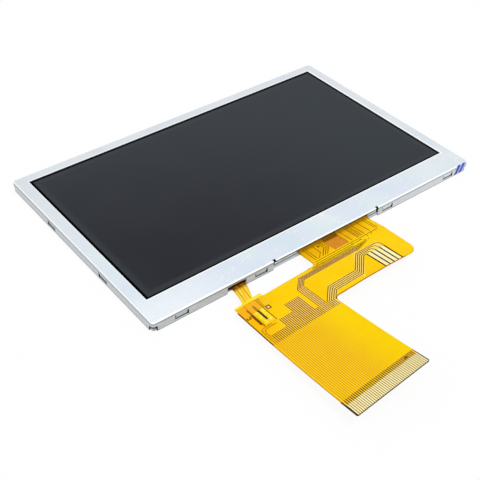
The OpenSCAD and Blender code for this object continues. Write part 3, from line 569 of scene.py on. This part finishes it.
def film_finish():
    """The base film: clear on the wing, nearly solid over the plane, painted brown as shade at the
    case.
    """
    f = Finish("amber_film", 0.3, specular=0.05)
    # painted shade: brown where the film goes under the bezel
    case_shade = f.fade(f.along(Y), -34.5, -34.2)
    amber = f.ramp(f.grain(4), (0.3, "d88a00"), (0.7, "e69a06"))
    over_plane = f.span(Y, *PLANE, 0.03)
    left = f.ramp(f.grain(5), (0.3, "e0981a"), (0.7, "eaa424"))
    plane = f.mix(left, "ffe200", f.fade(f.along(X), -26.0, -16.0))
    f.colour(f.mix(f.mix(amber, plane, over_plane), "7a4606", case_shade))
    f.solid(f.either(case_shade, f.both(over_plane, 0.88)), 0.03, 1.0)
    return f


def cover_film_finish():
    """The front cover film: clear, with a slot beside the lamps' joint painted brown as shade."""
    f = Finish("yellow_cover_film", 0.3, specular=0.1)
    yellow = f.ramp(f.grain(6, detail=2.0), (0.3, "ffd000"), (0.7, "ffe010"))
    # painted shade in the slot beside the joint
    f.colour(f.mix(yellow, "7c4a06", f.area(*SLOT_SHADE)))
    f.relief(f.grain(4, detail=1.0), 0.15, 0.02)
    beside_joint = f.area(*OPEN_SLOT, 0.15)
    f.solid(beside_joint, 0.03, 0.8)
    return f


BARE_FIELD = (-2.1, 2.9), (-38.8, -33.0)
TOUCH_FIELD = (2.3, 8.9), (-51.6, -45.0)
BRIGHT_EDGES = (
    ((-34.0, -12.0), (-40.6, -39.0)),
    ((-11.0, -9.15), (-39.8, -33.0)),
    ((13.2, 15.0), (-41.0, -33.0)),
    ((9.4, 15.0), (-52.0, -40.8)),
    ((-14.15, -13.0), (-82.0, -52.4)),
)
DULL_EDGE = (-13.6, 9.4), (-52.0, -51.25)


def rear_film_finish():
    """The rear cover film: seen from the front in the gaps of the copper and along its edges,
    where its top is painted dark brown as the shade in the gaps.
    """
    f = Finish("rear_cover_film", 0.4, specular=0.05)
    # painted shade: the dark brown that shows in the gaps of the copper
    dark = f.ramp(f.grain(1.5), (0.3, "581a00"), (0.7, "6a2400"))
    plain = f.ramp(f.grain(2.0), (0.3, "da8420"), (0.7, "e69230"))
    # painted shade: darker still under the touch conductors
    colour = f.mix(dark, "200a00", f.area(*TOUCH_FIELD))
    colour = f.mix(colour, plain, f.area(*BARE_FIELD))
    colour = f.mix(colour, "ffd810", f.either(*(f.area(*edge) for edge in BRIGHT_EDGES)))
    colour = f.mix(colour, "c88410", f.area(*DULL_EDGE))
    amber = f.ramp(f.grain(6), (0.3, "e3a200"), (0.7, "f2b400"))
    f.colour(f.mix(amber, colour, f.fade(f.facing_up(), -0.5, 0.5)))
    return f


def plated_finish():
    """Bare plated copper: bright faces, with its sides painted dark as the shade in the gaps that
    part the contacts.
    """
    f = Finish("plated_contact", 0.3, metallic=0.35)
    plate = f.ramp(f.grain(1.2, stretch=(1, 5, 1)), (0.3, "fbeaa0"), (0.7, "fff6bc"))
    # painted shade on the sides between the contacts
    f.colour(f.mix("3c2004", plate, f.fade(f.facing_up(), 0.4, 0.7)))
    return f


def lifted_copy(node, name, finish, lift):
    """A welded copy of a film node, a hair higher, which stands for it."""
    shape = bmesh.new()
    shape.from_mesh(nodes[node].data)
    bmesh.ops.remove_doubles(shape, verts=shape.verts, dist=1e-7)
    bmesh.ops.translate(shape, verts=shape.verts, vec=(0, 0, lift))
    mesh = bpy.data.meshes.new(name)
    shape.to_mesh(mesh)
    shape.free()
    mesh.materials.append(finish.material)
    piece = bpy.data.objects.new(name, mesh)
    bpy.context.collection.objects.link(piece)
    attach(piece, "root")
    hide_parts(node)


dress(track_finish(), "main_flex_tracks")
dress(ground_finish(), "main_flex_ground")
dress(rear_film_finish(), "main_flex_rear_coverlay")
lifted_copy("main_flex_base", "panel_circuit_film", film_finish(), LIFT)
lifted_copy("main_flex_coverlay", "panel_circuit_cover", cover_film_finish(),
            2 * LIFT)
dress(plated_finish(), "contact_fingers", "touch_pads")


def stiffener_finish():
    """The board behind the contacts: pale between them, with a dark border."""
    f = Finish("stiffener_board", 0.5, specular=0.1)
    board = f.ramp(f.grain(1.5), (0.3, "9c6412"), (0.7, "ac721c"))
    under = f.ramp(f.grain(3.0), (0.3, "a8701a"), (0.7, "b67c22"))
    # painted shade: the band between the contacts, seen through the film, is dark
    board = f.mix(board, "5a2600", f.span(Y, BARE_START, TAIL_HIGH.y + 0.1, 0.03))
    middle = ((TAIL_LOW.x + TAIL_HIGH.x) / 2, -75.0, 0.0)
    half_width = (TAIL_HIGH.x - TAIL_LOW.x) / 2
    inside = f.field(middle, (half_width - 0.3, 5.22, ANYWHERE), 0.003)
    front = f.mix("1c1204", board, inside)
    f.colour(f.mix(under, front, f.fade(f.facing_up(), -0.7, -0.4)))
    return f


def lamp_film_finish():
    """The lamps' circuit: yellow film, with painted shade in brown at the case and between the
    soldered joints.
    """
    f = Finish("lamp_circuit_film", 0.3, specular=0.1)
    yellow = f.ramp(f.grain(3), (0.3, "fcc000"), (0.7, "ffd010"))
    # painted shade: brown where the circuit enters the case
    yellow = f.mix(yellow, "7c4204", f.fade(f.along(Y), -35.4, -33.9))
    between = f.area(*FILM_GAP, 0.15)
    # painted shade in the gap between the joints
    f.colour(f.mix(yellow, "442400", between))
    return f


LAMP_STRIPES = (
    # from and to across the circuit, colour
    (-20.3, -20.05, "d08600"),
    (-18.75, -18.4, "e49c00"),
)


def lamp_track_finish():
    """Its conductors: yellow with two stripes, with streaky painted shade where they enter the
    case and in the gap between the joints.
    """
    f = Finish("lamp_circuit_tracks", 0.3, specular=0.2)
    yellow = f.ramp(f.grain(1.0, stretch=(1, 6, 1)), (0.3, "ffd21c"), (0.7, "ffe448"))
    outside = f.fade(f.along(Y), -40.0, -39.4)
    for low, high, line in LAMP_STRIPES:
        stripe = f.span((1, -0.27, 0), low, high, 0.08)
        yellow = f.mix(yellow, line, f.both(stripe, outside))
    streaks = f.ramp(f.grain(0.7, stretch=(0.4, 2, 1)), (0.4, "6e3c00"), (0.6, "c08010"))
    # painted shade: brown streaks where the conductors enter the case
    colour = f.mix(yellow, streaks, f.fade(f.along(Y), -35.2, -34.0))
    between = f.area(*TRACK_GAP, 0.1)
    # painted shade in the gap between the joints
    f.colour(f.mix(colour, "5a3200", f.both(between, 0.8)))
    return f


def solder_finish():
    f = Finish("bright_solder", 0.2, metallic=0.3, specular=0.3)
    lumps = f.grain(0.5)
    # the palest spots on the lumps are painted glints, a painted highlight
    f.colour(f.ramp(lumps, (0.35, "f4cc00"), (0.55, "ffea00"), (0.72, "fff690")))
    f.relief(lumps, 0.4, 0.05)
    return f


def tape_finish():
    """The tape patch: see-through over the lamps' circuit, a solid yellow round it."""
    f = Finish("thin_yellow_tape", 0.25, specular=0.15)
    past_edge = f.fade(f.along((-0.024, 1, 0)), -39.45, -39.3)
    stuck = f.ramp(f.grain(2.5), (0.3, "fbb006"), (0.7, "ffbe0a"))
    stuck = f.mix(stuck, "ffcc04", f.fade(f.along((1, -0.6, 0)), -4.5, -1.0))
    # painted shade in the slot beside the joint, under the tape
    stuck = f.mix(stuck, "94640c", f.area(*TAPED_SLOT, 0.15))
    loose = f.ramp(f.grain(1.5), (0.3, "ffe200"), (0.7, "fff030"))
    f.colour(f.mix(stuck, loose, past_edge))
    f.relief(f.grain(1.2), 0.3, 0.04)
    over_lamps = f.span((1, -0.131, 0), -25.9, -22.5, 0.1)
    f.solid(f.either(past_edge, f.outside(over_lamps)), 0.25, 0.95)
    return f


dress(stiffener_finish(), "tail_stiffener")
dress(lamp_film_finish(), "lamp_flex")
dress(lamp_track_finish(), "lamp_flex_tracks")
dress(solder_finish(), "lamp_solder")
lifted_copy("joint_tape", "lamp_joint_tape", tape_finish(), 5 * LIFT)

# ---- studio --------------------------------------------------------------------------


FLOOR_HALF = 1.5          # metres
FLOOR_DROP = 0.05 * MM    # keeps the floor off the part's underside
FLOOR_WHITE = 0.93        # how much of the floor shows as plain white; the rest keeps the shadow
PAPER = (0.93, 0.93, 0.93, 1)
SKY, SKY_STRENGTH = (0.97, 0.985, 1.0, 1), 0.62


def seen(tree):
    """1 for rays that show a surface to the eye, straight, mirrored or through glass; else 0."""
    path = tree.nodes.new("ShaderNodeLightPath")
    shown = path.outputs["Is Camera Ray"]
    for kind in ("Is Glossy Ray", "Is Transmission Ray"):
        either = tree.nodes.new("ShaderNodeMath")
        either.operation = "MAXIMUM"
        tree.links.new(shown, either.inputs[0])
        tree.links.new(path.outputs[kind], either.inputs[1])
        shown = either.outputs[0]
    return shown


def blended(tree, share, first, second):
    """Two shaders mixed: the second one's share is given by a socket."""
    blend = tree.nodes.new("ShaderNodeMixShader")
    for index, node_output in enumerate((share, first.outputs[0], second.outputs[0])):
        tree.links.new(node_output, blend.inputs[index])
    return blend.outputs[0]


def studio_floor():
    shape = bmesh.new()
    bmesh.ops.create_grid(shape, x_segments=1, y_segments=1, size=FLOOR_HALF)
    bmesh.ops.translate(shape, verts=shape.verts, vec=(0, 0, -FLOOR_DROP))
    mesh = bpy.data.meshes.new("floor")
    shape.to_mesh(mesh)
    shape.free()
    material = bpy.data.materials.new("studio_floor")
    material.use_nodes = True
    tree = material.node_tree
    tree.nodes.clear()
    share = tree.nodes.new("ShaderNodeMath")
    share.operation = "MULTIPLY"
    share.inputs[1].default_value = FLOOR_WHITE
    tree.links.new(seen(tree), share.inputs[0])
    paper = tree.nodes.new("ShaderNodeBsdfDiffuse")
    paper.inputs["Color"].default_value = PAPER
    glow = tree.nodes.new("ShaderNodeEmission")
    glow.inputs["Strength"].default_value = 1.0
    out = tree.nodes.new("ShaderNodeOutputMaterial")
    tree.links.new(blended(tree, share.outputs[0], paper, glow), out.inputs[0])
    mesh.materials.append(material)
    floor = bpy.data.objects.new("floor", mesh)
    bpy.context.collection.objects.link(floor)


def studio_world():
    world = bpy.data.worlds.new("studio")
    bpy.context.scene.world = world
    world.use_nodes = True
    tree = world.node_tree
    sky = tree.nodes["Background"]
    sky.inputs["Color"].default_value = SKY
    sky.inputs["Strength"].default_value = SKY_STRENGTH
    white = tree.nodes.new("ShaderNodeBackground")
    white.inputs["Color"].default_value = (1, 1, 1, 1)
    white.inputs["Strength"].default_value = 1.0
    surface = tree.nodes["World Output"].inputs["Surface"]
    tree.links.new(blended(tree, seen(tree), sky, white), surface)


def sun(name, azimuth, elevation, strength, width):
    """A distant lamp; the angles are in degrees, the azimuth counted from the front."""
    data = bpy.data.lights.new(name, "SUN")
    data.energy = strength
    data.angle = math.radians(width)
    lamp = bpy.data.objects.new(name, data)
    a, e = math.radians(azimuth), math.radians(elevation)
    from_there = Vector((math.sin(a) * math.cos(e), -math.cos(a) * math.cos(e), math.sin(e)))
    lamp.rotation_mode = "QUATERNION"
    lamp.rotation_quaternion = from_there.to_track_quat("Z", "Y")
    bpy.context.collection.objects.link(lamp)


studio_floor()
studio_world()
sun("key", azimuth=30, elevation=70, strength=1.4, width=25)
bpy.context.scene.view_settings.view_transform = "Standard"
